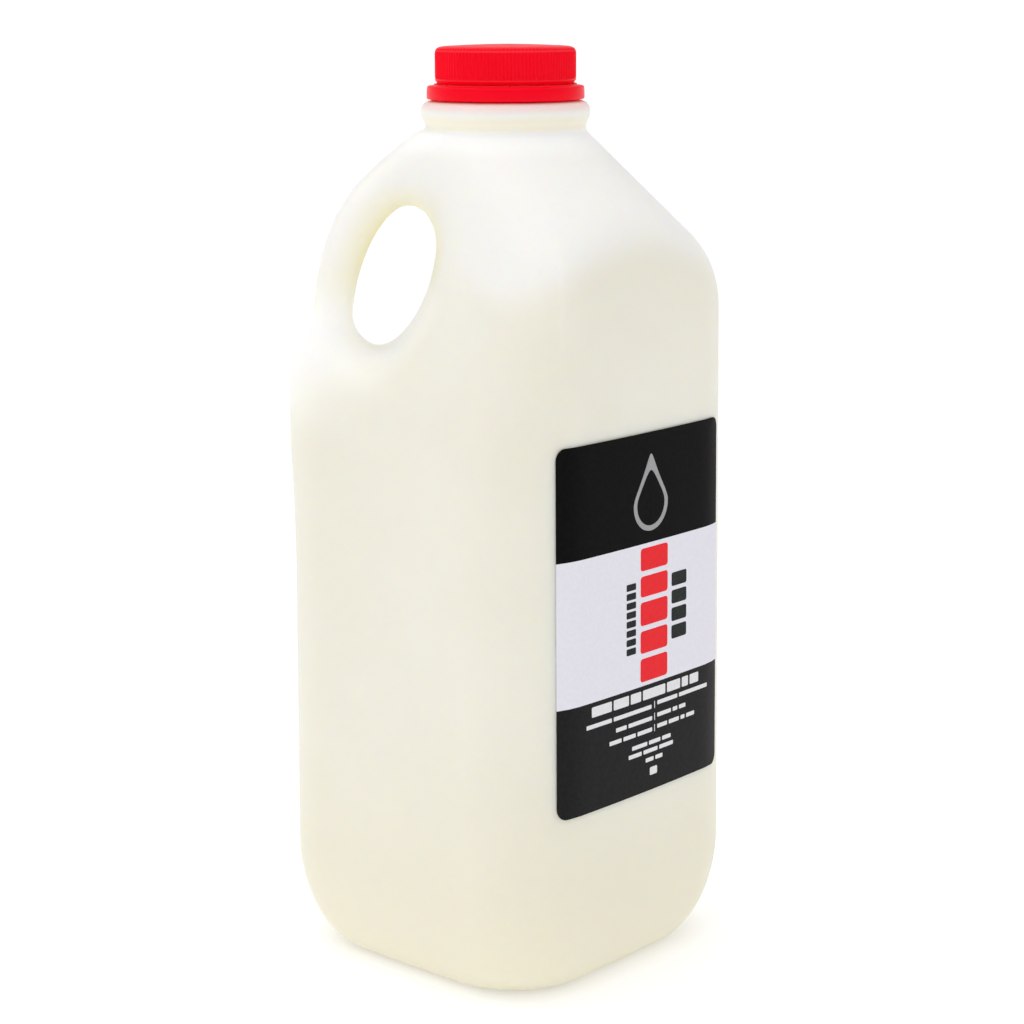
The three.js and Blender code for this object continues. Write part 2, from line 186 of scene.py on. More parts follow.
# %% Sizes in millimetres
MM = 0.001
SIDE_HALF = 49.1
SIDE_BULGE = 1.5
DRAFT = 1.2
DRAFT_HEIGHT = 174
CORNER_RADIUS = 22
HEEL_INSET = 12
HEEL_HEIGHT = 30.6
HEEL_POWER = 1.85
FOOT_WIDTH = 6
BASE_RISE = 2.4
SHOULDER_SLOPE = radians(45.6)
SHOULDER_ROUND = 9
NECK_ROOT_RADIUS = 25
NECK_ROOT_HEIGHT = 235
HANDLE_CENTRE = (-23.9, 179.8)
HANDLE_SPAN = (25.8, 44.9)
HANDLE_HALF_DEPTH = 5.35
HANDLE_TOP_EXTRA = 0.75
HANDLE_HALF_WIDTH = 11.5
HANDLE_FILLET = 14.3
HANDLE_END_X = -10
HANDLE_FADE_TOP = 150
HANDLE_FADE = 0.2
GRIP_CENTRE = (-37.2, 205.6)
GRIP_TILT = 0.116
GRIP_HALF_WIDTH = 17.5
GRIP_HALF_HEIGHT = 30.6
GRIP_WEDGE = 0.245
GRIP_SIDE_FLARE = (14, 50, 2.2)
GRIP_END_FLARE = (9, 40)
GRIP_ROUND = 8.5
GRIP_SOFTEN = 0.2
SCOOP_BOTTOM = 112
SCOOP_REACH_X = 10


# %% Soft joins and the walls
def smooth_max(a, b, band):
    mix = np.clip(0.5 + 0.5 * (a - b) / band, 0, 1)
    return b * (1 - mix) + a * mix + band * mix * (1 - mix)


def ellipse_distance(x, y, rx, ry):
    scaled = np.hypot(x / rx, y / ry) + 1e-6
    slope = np.hypot(x / rx**2, y / ry**2) + 1e-6
    return scaled * (scaled - 1) / slope


def wall_distance(x, y, z):
    u = (x + y) / sqrt(2)
    v = (x - y) / sqrt(2)
    down = np.clip(1 - z / HEEL_HEIGHT, 0, 1)
    inset = HEEL_INSET * (1 - (1 - down**HEEL_POWER) ** (1 / HEEL_POWER))
    half = SIDE_HALF + DRAFT * (1 - z / DRAFT_HEIGHT) - inset
    bow_u = np.maximum(SIDE_BULGE * (1 - (v / SIDE_HALF) ** 2), 0)
    bow_v = np.maximum(SIDE_BULGE * (1 - (u / SIDE_HALF) ** 2), 0)
    du = np.abs(u) - (half - CORNER_RADIUS) - bow_u
    dv = np.abs(v) - (half - CORNER_RADIUS) - bow_v
    outside = np.hypot(np.maximum(du, 0), np.maximum(dv, 0))
    return outside + np.minimum(np.maximum(du, dv), 0) - CORNER_RADIUS


def body_distance(x, y, z):
    cone = NECK_ROOT_RADIUS + (NECK_ROOT_HEIGHT - z) * tan(SHOULDER_SLOPE)
    shoulder = (np.hypot(x, y) - cone) * cos(SHOULDER_SLOPE)
    return smooth_max(wall_distance(x, y, z), shoulder, SHOULDER_ROUND)


# %% Handle and grip
def handle_distance(x, y, z):
    rise = np.maximum(z - HANDLE_CENTRE[1], 0)
    off = ellipse_distance(x - HANDLE_CENTRE[0], rise, *HANDLE_SPAN)
    depth = HANDLE_HALF_DEPTH + HANDLE_TOP_EXTRA * rise / HANDLE_SPAN[1]
    beyond = np.maximum(np.abs(y) - (HANDLE_HALF_WIDTH - depth), 0)
    fade = HANDLE_FADE * np.maximum(HANDLE_FADE_TOP - z, 0)
    return np.maximum(np.hypot(off, beyond) - depth, x - HANDLE_END_X) + fade


def grip_distance(x, y, z):
    dx = x - GRIP_CENTRE[0]
    dz = z - GRIP_CENTRE[1]
    across = dx * cos(GRIP_TILT) - dz * sin(GRIP_TILT)
    along = dx * sin(GRIP_TILT) + dz * cos(GRIP_TILT)
    side_amount, side_depth, side_power = GRIP_SIDE_FLARE
    side_flare = side_amount * (np.abs(y) / side_depth) ** side_power
    end_flare = GRIP_END_FLARE[0] * (np.abs(y) / GRIP_END_FLARE[1]) ** 2
    wedge = GRIP_WEDGE * np.maximum(-across, 0)
    rx = GRIP_HALF_WIDTH + side_flare
    rz = GRIP_HALF_HEIGHT + end_flare + wedge
    return ellipse_distance(np.maximum(across, 0), along, rx, rz)


def jug_distance(x, y, z):
    rim = GRIP_ROUND + GRIP_SOFTEN * np.abs(y)
    scooped = smooth_max(body_distance(x, y, z), -grip_distance(x, y, z), rim)
    return -smooth_max(-scooped, -handle_distance(x, y, z), HANDLE_FILLET)


# %% Settling points on a shape
def settle(distance, points):
    step = 0.02
    points = points.copy()
    for _ in range(8):
        x, y, z = points.T
        slope = np.stack(
            [
                distance(x + step, y, z) - distance(x - step, y, z),
                distance(x, y + step, z) - distance(x, y - step, z),
                distance(x, y, z + step) - distance(x, y, z - step),
            ],
            axis=1,
        )
        slope /= 2 * step
        pull = distance(x, y, z) / np.maximum((slope**2).sum(axis=1), 0.2)
        points -= slope * np.clip(pull, -4, 4)[:, None]
    return points


def body_radius(angle, z):
    inside = np.zeros_like(angle)
    outside = np.full_like(angle, 90)
    for _ in range(30):
        radius = (inside + outside) / 2
        within = body_distance(radius * np.cos(angle), radius * np.sin(angle), z) < 0
        inside = np.where(within, radius, inside)
        outside = np.where(within, outside, radius)
    return inside


corner_reach = body_radius(np.array([pi]), 60)[0]
print("corner of the jug at 60 mm up:", round(corner_reach, 2), "mm from the axis")


# %% Reading and writing points
def points_of(piece):
    flat = np.empty(len(piece.data.vertices) * 3)
    piece.data.vertices.foreach_get("co", flat)
    return flat.reshape(-1, 3) / MM


def move_points(piece, points):
    piece.data.vertices.foreach_set("co", (points * MM).ravel())
    piece.data.update()


def smooth_step(value, low, high):
    share = np.clip((value - low) / (high - low), 0, 1)
    return share * share * (3 - 2 * share)


# %% Editing helpers
def begin_piece(name):
    piece = bpy.context.object
    piece.name = name
    piece.data.name = name
    bpy.ops.object.transform_apply(location=True, rotation=True, scale=True)
    bpy.ops.object.mode_set(mode="EDIT")
    return piece


def pick(piece, kind, test):
    bpy.ops.mesh.select_mode(type=kind)
    bpy.ops.mesh.select_all(action="DESELECT")
    net = bmesh.from_edit_mesh(piece.data)
    parts = {"VERT": net.verts, "EDGE": net.edges, "FACE": net.faces}[kind]
    chosen = 0
    for part in parts:
        if test(part):
            part.select_set(True)
            chosen += 1
    bmesh.update_edit_mesh(piece.data)
    return chosen


def end_piece(piece):
    bpy.ops.object.mode_set(mode="OBJECT")
    bpy.ops.object.shade_smooth()
    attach(piece, "root")
    triangles = sum(len(face.vertices) - 2 for face in piece.data.polygons)
    print(piece.name, "has", triangles, "triangles")


def raise_rows(rows):
    """Extrudes the chosen ring of edges through rows of (radius, height), from the first row."""
    before = rows[0]
    for radius, height in rows[1:]:
        bpy.ops.mesh.extrude_edges_move(
            TRANSFORM_OT_translate={"value": (0, 0, (height - before[1]) * MM)}
        )
        scale = radius / before[0]
        bpy.ops.transform.resize(value=(scale, scale, 1), center_override=(0, 0, height * MM))
        before = (radius, height)


# %% [markdown]
# ## The jug's skin
# The skin is one closed sheet from the foot to the mouth, with a hole right through it behind
# the handle. It could be cut with a boolean, but that leaves ragged edges where light catches.
# So a ring of 32 points is raised row by row, a patch is taken out on each side of the handle's
# corner, and the rims of the two openings are drawn in until they meet in the middle. The bar
# that stays between them is the handle. After each subdivision the points go back on the shape.

# %% Raise the net of the skin
SKIN_COLUMNS = 32
FIRST_ROW = (50, 0)
WALL_ROWS = [0.5, 2, 6, 12.5, 21, 34, 62, 96, 128, 154, 172, 184.5, 197, 209.5, 222]
NECK_ROWS = [
    (30, 230),
    (24.9, 235.4),
    (22.9, 237.5),
    (22.5, 239.0),
    (23.2, 240.3),
    (24.0, 241.9),
    (24.0, 243.7),
    (23.0, 245.4),
    (21.0, 245.8),
    (18.8, 245.8),
    (18.2, 246.1),
    (18.2, 247.0),
    (18.2, 258.2),
    (18.0, 259.1),
    (17.0, 259.3),
]
FOOT_ROWS = [(40, 0), (38.5, 0), (34, BASE_RISE), (20, BASE_RISE)]

bpy.ops.object.select_all(action="DESELECT")
bpy.ops.mesh.primitive_circle_add(
    vertices=SKIN_COLUMNS,
    radius=FIRST_ROW[0] * MM,
    fill_type="NOTHING",
    rotation=(0, 0, pi / SKIN_COLUMNS),
)
skin = begin_piece("jug_skin")
bpy.ops.mesh.select_mode(type="EDGE")
bpy.ops.mesh.select_all(action="SELECT")
wall_profile = [(50 + 5 * min(z / 20, 1), z) for z in WALL_ROWS]
raise_rows([FIRST_ROW] + wall_profile + NECK_ROWS)
bpy.ops.mesh.fill_grid(span=8)
pick(skin, "EDGE", lambda edge: all(vert.co.z < 0.0001 for vert in edge.verts))
raise_rows([FIRST_ROW] + FOOT_ROWS)
bpy.ops.mesh.fill_grid(span=8)
print("net of", len(bmesh.from_edit_mesh(skin.data).faces), "faces")

# %% Open the grip
GRIP_ROWS = (172, 222)
GRIP_ANGLES = (radians(15), radians(75))


def in_grip(face):
    middle = face.calc_center_median() / MM
    turn = abs(np.arctan2(middle.y, -middle.x))
    upright = GRIP_ROWS[0] < middle.z < GRIP_ROWS[1]
    return upright and GRIP_ANGLES[0] < turn < GRIP_ANGLES[1]


opened = pick(skin, "FACE", in_grip)
bpy.ops.mesh.delete(type="FACE")
print("opened", opened, "faces for the grip")

# %% Lead both rims to the hole
HOLE_MIDDLE = (-32, 197)
HOLE_REACH = (10, 19)
HOLE_LEAN = 5
RIM_PATCH_MIDDLE = (-36, 197)
RIM_PATCH_REACH = (19, 25)
TUNNEL_STEPS = (0.3, 0.6, 0.85, 1)


def hole_point(rim_point):
    """The place on the hole's outline, in the plane of the handle, that a rim point leads to."""
    across = (rim_point.x / MM - RIM_PATCH_MIDDLE[0]) / RIM_PATCH_REACH[0]
    up = (rim_point.z / MM - RIM_PATCH_MIDDLE[1]) / RIM_PATCH_REACH[1]
    turn = np.arctan2(up, across)
    x = HOLE_MIDDLE[0] + HOLE_REACH[0] * cos(turn) + HOLE_LEAN * sin(turn)
    return (x * MM, 0, (HOLE_MIDDLE[1] + HOLE_REACH[1] * sin(turn)) * MM)


for side in (-1, 1):
    pick(
        skin,
        "EDGE",
        lambda edge: edge.is_boundary and side * edge.verts[0].co.y > 0.005,
    )
    rims = [vert.co.copy() for vert in bmesh.from_edit_mesh(skin.data).verts if vert.select]
    leads = {tuple(np.round(rim, 6)): (rim, hole_point(rim)) for rim in rims}
    for share in TUNNEL_STEPS:
        bpy.ops.mesh.extrude_edges_move()
        net = bmesh.from_edit_mesh(skin.data)
        moved = {}
        for vert in net.verts:
            if vert.select:
                rim, target = leads[tuple(np.round(vert.co, 6))]
                vert.co = rim.lerp(target, share)
                moved[tuple(np.round(vert.co, 6))] = (rim, target)
        leads = moved
        bmesh.update_edit_mesh(skin.data)
bpy.ops.mesh.select_all(action="SELECT")
bpy.ops.mesh.remove_doubles(threshold=0.0001)
bpy.ops.mesh.normals_make_consistent(inside=False)
open_edges = pick(skin, "EDGE", lambda edge: edge.is_boundary)
bpy.ops.object.mode_set(mode="OBJECT")
print("edges left open after the two sides meet:", open_edges)


# %% Put the skin on the shape
def base_height(x, y):
    return BASE_RISE * smooth_step(-wall_distance(x, y, 0) - FOOT_WIDTH, 0, 2 * FOOT_WIDTH)


def place_on_jug(points):
    x, y, z = points.T
    under = (z < BASE_RISE + 0.5) & (wall_distance(x, y, 0) <= 0)
    near_handle = (z > SCOOP_BOTTOM) & (x < SCOOP_REACH_X)
    angle = np.arctan2(y, x)
    radius = body_radius(angle, z)
    round_body = np.stack([radius * np.cos(angle), radius * np.sin(angle), z], axis=1)
    placed = np.where(near_handle[:, None], settle(jug_distance, points), round_body)
    neck_share = smooth_step(z, 235.5, 237.6)[:, None]
    placed = placed * (1 - neck_share) + points * neck_share
    foot = np.stack([x, y, base_height(x, y)], axis=1)
    return np.where(under[:, None], foot, placed)


def relax(piece, points, free):
    ends = np.empty(len(piece.data.edges) * 2, dtype=int)
    piece.data.edges.foreach_get("vertices", ends)
    ends = ends.reshape(-1, 2)
    total = np.zeros_like(points)
    count = np.zeros(len(points))
    for here, there in ((0, 1), (1, 0)):
        np.add.at(total, ends[:, here], points[ends[:, there]])
        np.add.at(count, ends[:, here], 1)
    mean = total / count[:, None]
    return points + (mean - points) * free[:, None] / 2


def subdivide_once(piece):
    bpy.ops.object.modifier_add(type="SUBSURF")
    modifier = piece.modifiers[-1]
    modifier.levels = 1
    modifier.render_levels = 1
    bpy.ops.object.modifier_apply(modifier=modifier.name)


for level, rounds in ((1, 14), (2, 6), (3, 3)):
    subdivide_once(skin)
    points = place_on_jug(points_of(skin))
    up = points[:, 2]
    free = smooth_step(up, 148, 168) * smooth_step(up, 232, 226)
    for _ in range(rounds):
        points = place_on_jug(relax(skin, points, free))
    points = np.clip(points, np.array(cad_box[0]) / MM, np.array(cad_box[1]) / MM)
    move_points(skin, points)
    print("level", level, "has", len(points), "points")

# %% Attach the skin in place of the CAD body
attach(skin, "root")
bpy.ops.object.shade_smooth()
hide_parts("jug_body")
low, high = points_of(skin).min(axis=0), points_of(skin).max(axis=0)
print("skin from", low.round(1), "to", high.round(1))

# %% [markdown]
# ## Painted warm light round the hole
# Where the plastic has no milk behind it, light crosses it and comes out yellower. On this jug
# that shows on the inside of the handle and round the hole, most at its upper left. It could be
# a lamp, but here it is painted light: each point gets a number that says how close it is to the
# hole's rim and how near its upper left, and the finish paints a warm yellow there.

# %% Nearness to the hole
RIM_MIDDLE = (-31.2, 196.5)
RIM_REACH = (10.5, 19.5)
RIM_TILT = 0.26
BRIGHTEST_TURN = radians(125)


def hole_nearness(points):
    x, y, z = points.T
    dx = x - RIM_MIDDLE[0]
    dz = z - RIM_MIDDLE[1]
    lean = dx * cos(RIM_TILT) - dz * sin(RIM_TILT)
    along = dx * sin(RIM_TILT) + dz * cos(RIM_TILT)
    beyond = np.maximum(ellipse_distance(lean, along, *RIM_REACH), 0)
    side = np.clip(1.3 - np.abs(y) / 16, 0, 1)
    turn = np.arctan2(along, lean)
    # painted light: the glow is strongest at the upper left, where the light falls
    upper_left = 0.5 + 0.5 * np.cos(turn - BRIGHTEST_TURN)
    return np.clip(1 - beyond / 9, 0, 1) * side * (0.04 + 0.96 * upper_left**1.3)


glow = skin.data.attributes.new("painted_hole_glow", "FLOAT", "POINT")
nearness = hole_nearness(points_of(skin))
glow.data.foreach_set("value", nearness.astype(np.float32))
print("points near the hole:", int((nearness > 0.2).sum()))


# %% [markdown]
# ## Light through the empty wall
# The shelf under the hole and the fold below the collar face away from most of the light, yet
# on the real jug they stay as bright as the walls, because light from the far side crosses the
# thin plastic. Tracing that light would need a hollow jug, which the solid isn't, so these
# places get a second number, and there the light is painted in: a whiter colour that glows a little.

# %% Thin places with painted light
def thin_wall_light_share(points):
    x, y, z = points.T
    shelf = smooth_step(z, 148, 178) * smooth_step(z, 200, 182)
    shelf = shelf * smooth_step(np.abs(y), 30, 8) * smooth_step(x, 2, -14)
    fold = smooth_step(z, 230, 237) * smooth_step(z, 241.2, 238.6)
    return np.maximum(shelf, fold)


def no_milk_and_top_light_share(points):
    """One on the shoulder cone and the upper part of the handle: painted light where they face up to
    the light, and the paler plastic with no milk behind it.
    """
    x, y, z = points.T
    cone = NECK_ROOT_RADIUS + (NECK_ROOT_HEIGHT - z) * tan(SHOULDER_SLOPE)
    shoulder = (np.hypot(x, y) - cone) * cos(SHOULDER_SLOPE)
    on_cone = smooth_step(shoulder - wall_distance(x, y, z), -6, 4.5)
    near_handle = smooth_step(x, -4, -24)
    return on_cone * (1 - near_handle) + smooth_step(z, 165, 215) * near_handle


for name, share in (("thin_wall_light", thin_wall_light_share), ("no_milk_and_top_light", no_milk_and_top_light_share)):
    values = share(points_of(skin))
    layer = skin.data.attributes.new(name, "FLOAT", "POINT")
    layer.data.foreach_set("value", values.astype(np.float32))
    print("points with more than half of", name, int((values > 0.5).sum()))


# %% [markdown]
# ## Milky polyethylene
# The jug is thin, cloudy plastic full of milk: light enters, scatters for several millimetres
# and comes back ivory. A plain white paint would look like plaster, so the finish scatters
# light under the surface. A fine grain from the mould, slow waves from blowing, and the seam
# where the two halves of the mould met are all bumps that the formulas of the finish make.

# %% Finish of the jug
def start_finish(name):
    material = bpy.data.materials.new(name)
    material.use_nodes = True
    tree = material.node_tree
    return material, tree, tree.nodes["Principled BSDF"]


def object_noise(tree, scale, detail=2.0, roughness=0.5):
    place = add_node(tree, "ShaderNodeTexCoord")
    noise = add_node(tree, "ShaderNodeTexNoise")
    set_inputs(noise, Scale=scale, Detail=detail, Roughness=roughness)
    tree.links.new(place.outputs["Object"], noise.inputs["Vector"])
    return noise.outputs["Fac"]


def blend_colours(tree, share, first, second):
    blend = add_node(tree, "ShaderNodeMix", data_type="RGBA")
    tree.links.new(share, blend.inputs["Factor"])
    for socket, value in ((blend.inputs[6], first), (blend.inputs[7], second)):
        if isinstance(value, bpy.types.NodeSocket):
            tree.links.new(value, socket)
        else:
            socket.default_value = value
    return blend.outputs[2]


def add_bump(tree, height, distance, strength, below=None):
    bump = add_node(tree, "ShaderNodeBump")
    set_inputs(bump, Distance=distance, Strength=strength)
    tree.links.new(height, bump.inputs["Height"])
    if below is not None:
        tree.links.new(below, bump.inputs["Normal"])
    return bump.outputs["Normal"]


def range_share(tree, value, low, high):
    node = add_node(tree, "ShaderNodeMapRange", interpolation_type="SMOOTHSTEP")
    set_inputs(node, From_Min=low, From_Max=high)
    tree.links.new(value, node.inputs["Value"])
    return node.outputs["Result"]


def milky_finish():
    material, tree, surface = start_finish("milky_polyethylene")
    set_inputs(
        surface,
        Roughness=0.42,
        Subsurface_Weight=0.7,
        Subsurface_Scale=0.006,
        Specular_IOR_Level=0.4,
    )
    surface.inputs["Subsurface Radius"].default_value = (1.0, 0.8, 0.5)
    place = add_node(tree, "ShaderNodeTexCoord")
    split = add_node(tree, "ShaderNodeSeparateXYZ")
    tree.links.new(place.outputs["Object"], split.inputs[0])
    clouds = range_share(tree, object_noise(tree, 28, 3), 0.3, 0.7)
    milk = blend_colours(tree, clouds, (0.875, 0.853, 0.758, 1), (0.855, 0.83, 0.722, 1))
    no_milk_and_top_light_node = add_node(tree, "ShaderNodeAttribute", attribute_name="no_milk_and_top_light")
    # darker and yellower towards the foot
    near_foot = range_share(tree, split.outputs["Z"], 0.085, 0.0)
    darker_near_foot = blend_colours(tree, near_foot, milk, (0.86, 0.82, 0.665, 1))
    # whiter on the cone and the upper handle: painted light where they face up, and paler plastic
    # with no milk behind
    empty = no_milk_and_top_light_node.outputs["Fac"]
    ivory = blend_colours(tree, empty, darker_near_foot, (0.925, 0.915, 0.88, 1))
    # painted light: warm yellow light round the hole's rim, strongest at its upper left
    nearness_node = add_node(tree, "ShaderNodeAttribute", attribute_name="painted_hole_glow")
    painted_warm_light = maths(tree, "MULTIPLY", nearness_node.outputs["Fac"], 0.9)
    glowing = blend_colours(tree, painted_warm_light, ivory, (0.94, 0.87, 0.5, 1))
    # painted light: the shelf under the hole and the fold under the collar are painted whiter
    thin_wall_light_node = add_node(tree, "ShaderNodeAttribute", attribute_name="thin_wall_light")
    thin_wall_lit = blend_colours(tree, thin_wall_light_node.outputs["Fac"], glowing, (1.0, 0.99, 0.95, 1))
    creamy_low = range_share(tree, split.outputs["Z"], 0.2370, 0.2390)
    creamy_high = range_share(tree, split.outputs["Z"], 0.2428, 0.2412)
    creamy = maths(tree, "MULTIPLY", creamy_low, creamy_high)
    collar = blend_colours(tree, creamy, thin_wall_lit, (0.96, 0.885, 0.75, 1))
    # painted light: a pink glow under the red ring, where its red light would spill onto the collar
    under_ring_painted_glow = range_share(tree, split.outputs["Z"], 0.2420, 0.2449)
    colour = blend_colours(tree, under_ring_painted_glow, collar, (1.0, 0.72, 0.68, 1))
    tree.links.new(colour, surface.inputs["Base Color"])
    # painted light: these thin places glow a little
    through = blend_colours(tree, thin_wall_light_node.outputs["Fac"], (0, 0, 0, 1), (0.05, 0.049, 0.045, 1))
    tree.links.new(through, surface.inputs["Emission Color"])
    surface.inputs["Emission Strength"].default_value = 1
    off_seam = maths(tree, "ABSOLUTE", split.outputs["Y"])
    seam = range_share(tree, off_seam, 0.0004, 0.0001)
    waves = add_bump(tree, object_noise(tree, 60, 1), 0.0004, 0.35)
    grain = add_bump(tree, object_noise(tree, 2200, 2), 0.00004, 0.5, waves)
    lined = add_bump(tree, seam, 0.00012, 0.7, grain)
    tree.links.new(lined, surface.inputs["Normal"])
    return material


skin.data.materials.clear()
skin.data.materials.append(milky_finish())
print("jug finish:", skin.data.materials[0].name)

# %% [markdown]
# ## The screw cap
# The cap is a moulded cup. Its side has fine ribs for the fingers, a smooth band below them and
# a rounded top edge. The ribs could be a bump pattern, but at the edge of the cap they show in
# the outline, so each rib has six columns of the ring, and its groove columns are drawn inwards.

# %% Raise the cap
RIB_COUNT = 116
RIB_COLUMNS = 6
RIB_DEPTH = 0.36
CAP_RADIUS = 19.75
CAP_COLUMNS = RIB_COUNT * RIB_COLUMNS
CAP_START = (18.4, 250.55)
CAP_PROFILE = [
    (18.7, 250.4),
    (19.05, 250.35),
    (19.25, 250.5),
    (19.3, 250.85),
    (19.45, 251.1),
    (19.72, 251.3),
    (19.75, 251.5),
    (19.7, 251.7),
    (19.6, 251.8),
    (19.7, 251.95),
    (19.75, 252.3),
    (19.75, 255.6),
    (19.75, 258.6),
    (19.7, 259.1),
    (19.5, 259.65),
    (19.15, 260.1),
    (18.55, 260.42),
    (17.8, 260.6),
    (16.3, 260.72),
    (13.0, 260.88),
    (8.0, 261.08),
    (4.0, 261.18),
    (1.5, 261.2),
]

bpy.ops.object.select_all(action="DESELECT")
bpy.ops.mesh.primitive_circle_add(
    vertices=CAP_COLUMNS,
    radius=CAP_START[0] * MM,
    fill_type="NOTHING",
    location=(0, 0, CAP_START[1] * MM),
)
cap = begin_piece("ribbed_cap")
bpy.ops.mesh.select_mode(type="EDGE")
bpy.ops.mesh.select_all(action="SELECT")
raise_rows([CAP_START] + CAP_PROFILE)
bpy.ops.mesh.edge_face_add()
pick(cap, "EDGE", lambda edge: edge.is_boundary)
raise_rows([CAP_START, (18.4, 251), (18.4, 259.5), (18.2, 259.6), (4, 259.6)])
bpy.ops.mesh.edge_face_add()


# %% Draw in the grooves
def on_ribs(vert):
    return vert.co.z > 0.2519 and vert.co.z < 0.2597 and vert.co.xy.length > 0.01895


def rib_step(vert):
    turn = np.arctan2(vert.co.x, vert.co.y) / (2 * pi) * CAP_COLUMNS
    return int(round(turn)) % RIB_COLUMNS


for steps, share in (((1, 5), 0.25), ((2, 4), 0.8), ((3,), 1.0)):
    pick(cap, "VERT", lambda vert: on_ribs(vert) and rib_step(vert) in steps)
    inward = 1 - share * RIB_DEPTH / CAP_RADIUS
    bpy.ops.transform.resize(value=(inward, inward, 1), center_override=(0, 0, 0.2555))
bpy.ops.mesh.select_all(action="SELECT")
bpy.ops.mesh.normals_make_consistent(inside=False)
end_piece(cap)
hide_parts("screw_cap")

# %% [markdown]
# ## The tamper ring
# Below the cap sits a wider ring that stays on the neck when the cap is first turned. It is
# held to the cap by thin bridges, and a small folded lip under it grips the neck. A plain tube
# would do from afar, but the lip and the bridges show at the sides, so they are modelled.

# %% Raise the ring
RING_START = (18.6, 246.3)
RING_PROFILE = [
    (18.9, 246.1),
    (19.6, 246.05),
    (19.7, 245.75),
    (20.1, 245.65),
    (20.5, 245.8),
    (20.6, 246.1),
    (21.5, 246.1),
    (21.95, 246.2),
    (22.1, 246.5),
    (22.1, 248.0),
    (22.0, 249.2),
    (21.9, 249.6),
    (21.65, 249.8),
    (20.6, 249.95),
    (19.9, 250.12),
    (19.5, 250.28),
    (19.1, 250.3),
    (18.7, 250.1),
]

bpy.ops.object.select_all(action="DESELECT")
bpy.ops.mesh.primitive_circle_add(
    vertices=144,
    radius=RING_START[0] * MM,
    fill_type="NOTHING",
    location=(0, 0, RING_START[1] * MM),
)
ring = begin_piece("tamper_band")
bpy.ops.mesh.select_mode(type="EDGE")
bpy.ops.mesh.select_all(action="SELECT")
raise_rows([RING_START] + RING_PROFILE)
pick(ring, "EDGE", lambda edge: edge.is_boundary)
bpy.ops.mesh.bridge_edge_loops()
bpy.ops.mesh.select_all(action="SELECT")
bpy.ops.mesh.normals_make_consistent(inside=False)
end_piece(ring)
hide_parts("tamper_ring")

# %% Bridges between ring and cap
BRIDGE_COUNT = 12
bpy.ops.object.select_all(action="DESELECT")
bpy.ops.mesh.primitive_cube_add(size=1 * MM, location=(0.0195, 0, 0.25022))
bridges = begin_piece("tamper_bridges")
bpy.ops.mesh.select_all(action="SELECT")
bpy.ops.transform.resize(value=(0.9, 0.8, 0.5), center_override=(0.0195, 0, 0.25022))
pick(bridges, "FACE", lambda face: face.normal.z > 0.9)
bpy.ops.transform.resize(value=(1, 0.6, 1), center_override=(0.0195, 0, 0.25047))
bpy.ops.mesh.select_all(action="SELECT")
bpy.ops.mesh.bevel(offset=0.08 * MM, segments=1, affect="EDGES")
bpy.ops.mesh.select_all(action="SELECT")
for _ in range(BRIDGE_COUNT - 1):
    bpy.ops.mesh.duplicate()
    bpy.ops.transform.rotate(
        value=2 * pi / BRIDGE_COUNT, orient_axis="Z", center_override=(0, 0, 0)
    )
end_piece(bridges)


# %% [markdown]
# ## Red plastic
# The cap is dyed right through, a clear strong red with a soft gloss. Flat red would look like
# paint, so a little light scatters inside it, its gloss changes a touch from place to place and
# a faint orange-peel from the mould breaks up the highlights. Three edges that catch the light
# are painted paler red as painted highlights: each has its height, its reach and its paleness.

# %% Finish of the cap and ring
PAINTED_HIGHLIGHT_BANDS = [
    (0.25945, 0.0004, 0.045),
    (0.2515, 0.0003, 0.02),
    (0.2502, 0.0003, 0.03),
]


def red_finish():
    material, tree, surface = start_finish("red_cap_plastic")
    set_inputs(surface, Subsurface_Weight=0.15, Subsurface_Scale=0.001, Specular_IOR_Level=0.07)
    surface.inputs["Subsurface Radius"].default_value = (1.0, 0.2, 0.15)
    depth = range_share(tree, object_noise(tree, 90, 3), 0.25, 0.75)
    red = blend_colours(tree, depth, (1.0, 0.001, 0.018, 1), (0.96, 0.001, 0.014, 1))
    place = add_node(tree, "ShaderNodeTexCoord")
    split = add_node(tree, "ShaderNodeSeparateXYZ")
    tree.links.new(place.outputs["Object"], split.inputs[0])
    # painted highlights: paler red where the top edge, the lip and the ring's rim catch the light
    for middle, reach, pale in PAINTED_HIGHLIGHT_BANDS:
        away = maths(tree, "ABSOLUTE", maths(tree, "SUBTRACT", split.outputs["Z"], middle))
        red = blend_colours(tree, range_share(tree, away, reach, 0), red, (1.0, pale, pale * 1.4, 1))
    tree.links.new(red, surface.inputs["Base Color"])
    gloss = add_node(tree, "ShaderNodeMapRange")
    set_inputs(gloss, To_Min=0.26, To_Max=0.4)
    tree.links.new(object_noise(tree, 400, 2), gloss.inputs["Value"])
    tree.links.new(gloss.outputs["Result"], surface.inputs["Roughness"])
    peel = add_bump(tree, object_noise(tree, 1500, 1), 0.00001, 0.2)
    tree.links.new(peel, surface.inputs["Normal"])
    return material


red_plastic = red_finish()
for piece in (cap, ring, bridges):
    piece.data.materials.append(red_plastic)
print("cap finish:", red_plastic.name)

# %% [markdown]
# ## The label
# The label is a thin printed film with round corners on the flat of one side: a black field, a
# pale middle and a charcoal foot. A picture mapped on the wall would be quicker, but it would
# lose the film's edge. So the film is cut flat, as a printer would, sliced so that it can bend,
# given its thickness and then wrapped on the wall with the same formula.

# %% Cut and wrap flat sheets
SIDE_MIDDLE = 50.1


